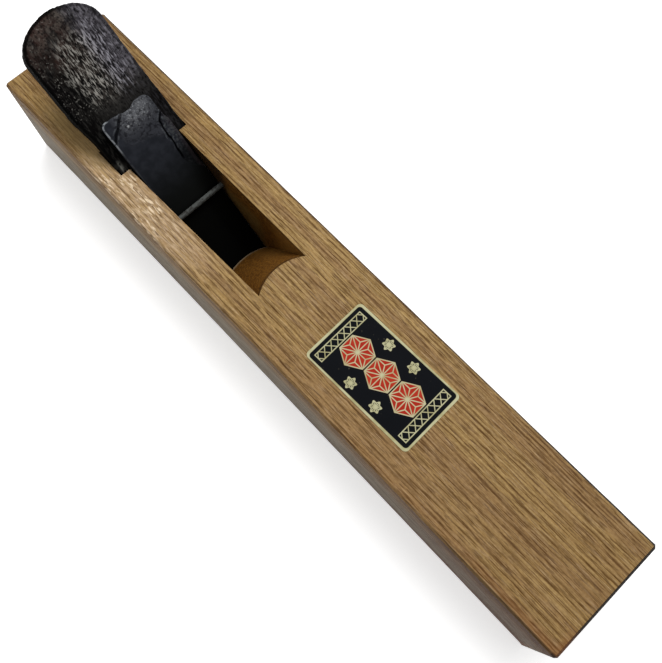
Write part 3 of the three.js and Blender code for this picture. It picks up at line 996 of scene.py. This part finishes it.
class MakeLabel(bpy.types.Operator):
    """Makes the paper label, pasted on by hand and not quite flat."""

    bl_idname = "kanna.make_label"
    bl_label = "Label"

    def execute(self, context):
        settings = context.scene.kanna_label
        place = label_frame()
        slice_length = 1.5 * MM
        blister_grain = 7 * MM
        blister_share = 0.35
        work = carried("label", place)
        for axis in (Vector((1, 0, 0)), Vector((0, 1, 0))):
            slice_along(work, axis, slice_length)
        half_width = max(vert.co.x for vert in work.verts)
        half_length = max(vert.co.y for vert in work.verts)
        thickness = max(vert.co.z for vert in work.verts)
        for vert in work.verts:
            if vert.co.z > thickness / 2:
                blister = noise.noise(Vector((vert.co.x, vert.co.y, 0)) / blister_grain)
                vert.co.z -= thickness * blister_share * (0.5 - 0.5 * blister)
        piece = piece_from("paper_label", work)
        smooth(piece, CRISP_ANGLE)
        material = label_finish(settings, half_width / MM, half_length / MM)
        finished(piece, place, material, "dai", "label")
        return {"FINISHED"}


class MakeBlade(bpy.types.Operator):
    """Makes the forged body of the blade and its steel."""

    bl_idname = "kanna.make_blade"
    bl_label = "Blade"

    def execute(self, context):
        settings = context.scene.kanna_iron
        place = irons_frame()
        grain = 0.38 * MM
        piece = forged("blade", place, settings.blade_rim, grain)
        points = vertex_array(piece.data, "co")
        along = points[:, 1]
        top = along.max()
        exposed = rise(along, 60 * MM, 12 * MM)
        drawn = rise(along, 80 * MM, 6 * MM)
        struck = rise(along, top - 9 * MM, 6 * MM)
        ridge = noise_at(points, (0.9 * MM, 2.8 * MM, 0.9 * MM), 3) * 0.9 + 0.5
        dents = dents_at(points, 5.0 * MM, 11)
        fine = noise_at(points, (1.5 * MM, 1.8 * MM, 1.5 * MM), 5) * 0.5 + 0.5
        chips = np.clip(noise_at(points, 3 * MM, 17), 0, 1)
        carry(piece.data, "ridge", ridge)
        carry(piece.data, "hollow", dents)
        ridge = np.clip(ridge, 0, 1)
        depth = exposed * (0.8 * dents + 0.5 * fine) + drawn * (1 - ridge) + 1.4 * struck * chips
        sink(piece, settings.hammer_depth * depth)
        material = blade_finish(settings, top / MM)
        finished(piece, place, material, "blade", "blade_body")
        add_steel("blade", place, settings)
        return {"FINISHED"}


class MakeChipbreaker(bpy.types.Operator):
    """Makes the body of the chipbreaker, with creases along its bends, and its steel."""

    bl_idname = "kanna.make_chipbreaker"
    bl_label = "Chipbreaker"

    def execute(self, context):
        settings = context.scene.kanna_iron
        place = irons_frame()
        grain = 0.24 * MM
        piece = forged("chipbreaker", place, settings.chipbreaker_rim, grain)
        points = vertex_array(piece.data, "co")
        along = points[:, 1]
        top = along.max()
        creases = np.zeros(len(points), np.float32)
        piece.data.attributes["crease"].data.foreach_get("value", creases)
        upper = vertex_array(piece.data, "normal")[:, 2] > 0.5
        fold_width = np.where(points[:, 0] < 0, 0.8, 0.5)
        groove = np.clip(1 - creases / fold_width, 0, 1) ** 2 * upper
        groove *= rise(along, top - 27 * MM, 3 * MM)
        carry(piece.data, "flange", self.flange(points))
        rough = rise(along, top - 14 * MM, 4 * MM)
        pits = dents_at(points, 2.0 * MM, 7)
        carry(piece.data, "hollow", pits)
        soft = noise_at(points, (3 * MM, 5 * MM, 3 * MM), 9) * 0.5 + 0.5
        sink(piece, settings.crease_depth * (groove + 0.9 * rough * pits + 0.25 * soft))
        material = chipbreaker_finish(settings, top / MM)
        finished(piece, place, material, "chipbreaker", "chipbreaker_body")
        add_steel("chipbreaker", place, settings)
        return {"FINISHED"}

    def flange(self, points):
        """1 on the flange that is bent down along the right side, and 0 elsewhere."""
        work = carried("chipbreaker_body", irons_frame())
        least_tilt = 0.05
        upper = [face for face in work.faces if face.normal.z > UPWARD]
        tilted = [face for face in upper if face.normal.x > least_tilt]
        share = np.zeros(len(points))
        for face in tilted:
            inside = np.ones(len(points), bool)
            for loop in face.loops:
                start = np.array(loop.vert.co)
                side = np.array(loop.link_loop_next.vert.co) - start
                across = side[0] * (points[:, 1] - start[1]) - side[1] * (points[:, 0] - start[0])
                inside &= across >= 0
            share[inside] = 1
        work.free()
        return share


class MakeStage(bpy.types.Operator):
    """Makes the floor, the light and the camera."""

    bl_idname = "kanna.make_stage"
    bl_label = "Stage"

    def execute(self, context):
        settings = context.scene.kanna_stage
        self.floor(settings)
        self.light(settings)
        self.camera()
        context.scene.view_settings.view_transform = "Standard"
        return {"FINISHED"}

    def seen(self, finish):
        """1 for the rays that look at a background, and 0 for those that light the plane."""
        camera, glossy, through = finish.node(
            "ShaderNodeLightPath", {}, {}, ("Is Camera Ray", "Is Glossy Ray", "Is Transmission Ray")
        )
        return larger(camera, larger(glossy, through))

    def floor(self, settings):
        """A pale floor that keeps the plane's shadow and is white where the camera sees it far off."""
        half = 2.5
        fade_start = 0.6
        fade_end = 1.8
        least_lift = 0.55
        corners = [(-half, -half), (half, -half), (half, half), (-half, half)]
        mesh = bpy.data.meshes.new("floor")
        mesh.from_pydata([(x, y, cad_low.z) for x, y in corners], [], [(0, 1, 2, 3)])
        floor = added("floor", mesh)
        finish = Finish(bpy.data.materials.new("pale_floor"))
        x, y = finish.split(finish.node("ShaderNodeTexCoord", {}, {}, "Object"))[:2]
        fade = reach(x, y).step(fade_start, fade_end)
        lift = self.seen(finish) * (least_lift + (1 - least_lift) * fade)
        mesh.materials.append(
            finish.done(
                Base_Color=settings.floor,
                Roughness=0.9,
                Specular_IOR_Level=0.1,
                Emission_Color=finish.blend((0, 0, 0, 1), (1, 1, 1, 1), lift),
                Emission_Strength=1.0,
            )
        )

    def light(self, settings):
        """An even sky and one large soft lamp above."""
        lamp_place = (0.8, 0.5, 2.15)
        lamp_size = 1.3
        world = bpy.data.worlds.new("even_sky")
        bpy.context.scene.world = world
        sky = Finish(world)
        seen = self.seen(sky)
        strength = seen + (1 - seen) * settings.sky
        sockets = {"Color": (1, 1, 1, 1), "Strength": strength}
        background = sky.node("ShaderNodeBackground", {}, sockets)
        sky.node("ShaderNodeOutputWorld", {}, {"Surface": background}, ())
        data = bpy.data.lights.new("key", "AREA")
        data.size = lamp_size
        data.energy = settings.key
        lamp = added("key", data)
        lamp.location = lamp_place
        lamp.rotation_mode = "QUATERNION"
        lamp.rotation_quaternion = Vector(lamp_place).to_track_quat("Z", "Y")

    def camera(self):
        """The camera at the place that fits the corners of the block in the photograph."""
        location = Vector((-52.06, -74.78, 281.26)) * MM
        right = Vector((0.726144, -0.687471, -0.009948))
        upward = Vector((0.657661, 0.690294, 0.301622))
        back = Vector((-0.20049, -0.225564, 0.953376))
        focal_pixels = 755.3145
        image_height = 663
        data = bpy.data.cameras.new("camera")
        data.sensor_fit = "AUTO"
        data.sensor_width = 36.0
        data.lens = data.sensor_width * focal_pixels / image_height
        data.clip_start = 10 * MM
        data.clip_end = 20.0
        camera = added("camera", data)
        axes = Matrix((right, upward, back)).transposed().to_4x4()
        camera.matrix_world = Matrix.Translation(location) @ axes
        bpy.context.scene.camera = camera


class KannaPanel(bpy.types.Panel):
    """The pieces of the plane, each with its settings."""

    bl_idname = "KANNA_PT_pieces"
    bl_label = "Kanna Plane"
    bl_space_type = "VIEW_3D"
    bl_region_type = "UI"
    bl_category = "Kanna"

    def draw(self, context):
        for operator in OPERATORS:
            self.layout.operator(operator.bl_idname)
        for name in SETTINGS:
            group = getattr(context.scene, name)
            box = self.layout.box()
            for key in group.__annotations__:
                box.prop(group, key)


OPERATORS = (MakeStage, MakeBlock, MakePin, MakeLabel, MakeBlade, MakeChipbreaker)
SETTINGS = {
    "kanna_block": BlockSettings,
    "kanna_label": LabelSettings,
    "kanna_iron": IronSettings,
    "kanna_stage": StageSettings,
}


def register():
    for kind in (*SETTINGS.values(), *OPERATORS, KannaPanel):
        bpy.utils.register_class(kind)
    for name, kind in SETTINGS.items():
        setattr(bpy.types.Scene, name, PointerProperty(type=kind))


def unregister():
    for name in SETTINGS:
        delattr(bpy.types.Scene, name)
    for kind in reversed((*SETTINGS.values(), *OPERATORS, KannaPanel)):
        bpy.utils.unregister_class(kind)


def main():
    """Makes every piece."""
    register()
    bpy.ops.kanna.make_stage()
    bpy.ops.kanna.make_block()
    bpy.ops.kanna.make_pin()
    bpy.ops.kanna.make_label()
    bpy.ops.kanna.make_blade()
    bpy.ops.kanna.make_chipbreaker()


if __name__ == "__main__":
    main()
